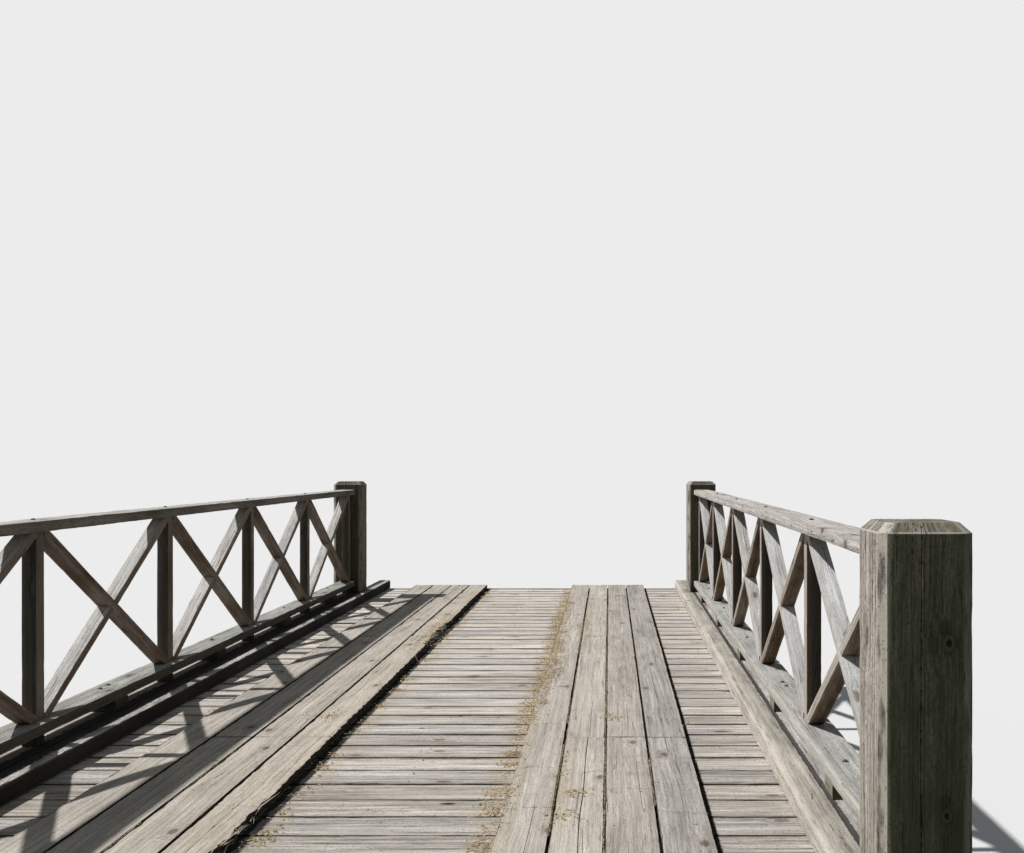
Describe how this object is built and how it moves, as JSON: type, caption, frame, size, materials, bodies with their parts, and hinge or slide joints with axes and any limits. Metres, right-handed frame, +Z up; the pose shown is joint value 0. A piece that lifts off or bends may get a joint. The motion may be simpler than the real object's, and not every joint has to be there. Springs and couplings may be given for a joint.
{
  "type": "timber footbridge",
  "caption": "Timber footbridge with a plank deck, raised wheel tracks, curbs and cross-braced railings between square end posts.",
  "frame": {"origin": "on the ground under the middle of the bridge, at the bottom centre of its box", "axes": "+X across the bridge to the right, +Y along it away from the viewer, +Z up"},
  "size_m": [3.886, 9.974, 2.147],
  "materials": {
    "post": "weathered timber with long drying checks, algae low down and a mossy bevelled top",
    "rail": "sun-bleached planed timber with grey lichen",
    "upright": "weathered square timber",
    "brace": "sun-bleached sawn timber",
    "block": "weathered timber in shade",
    "curb": "weathered timber with worn edges",
    "track": "weathered boards with open grain, worn by wheels",
    "deck": "weathered sawn planks with open grain",
    "stringer": "dark damp timber",
    "abutment": "dark damp timber with algae"
  },
  "bodies": {
    "root": {"near_left_post": "post", "near_right_post": "post", "far_left_post": "post", "far_right_post": "post", "left_top_rail": "rail", "right_top_rail": "rail", "left_bottom_rail": "rail", "right_bottom_rail": "rail", "left_uprights": "upright", "right_uprights": "upright", "left_brace_1": "brace", "left_brace_2": "brace", "left_brace_3": "brace", "left_brace_4": "brace", "left_brace_5": "brace", "right_brace_1": "brace", "right_brace_2": "brace", "right_brace_3": "brace", "right_brace_4": "brace", "right_brace_5": "brace", "left_rail_blocks": "block", "right_rail_blocks": "block", "left_rail_sill": "block", "right_rail_sill": "block", "left_curb": "curb", "right_curb": "curb", "left_track": "track", "right_track": "track", "near_deck": "deck", "middle_deck": "deck", "far_deck": "deck", "left_outer_stringer": "stringer", "left_inner_stringer": "stringer", "middle_stringer": "stringer", "right_inner_stringer": "stringer", "right_outer_stringer": "stringer", "near_front_wall": "abutment", "near_back_wall": "abutment", "near_side_timbers": "abutment", "far_front_wall": "abutment", "far_back_wall": "abutment", "far_side_timbers": "abutment"}
  },
  "joints": []
}
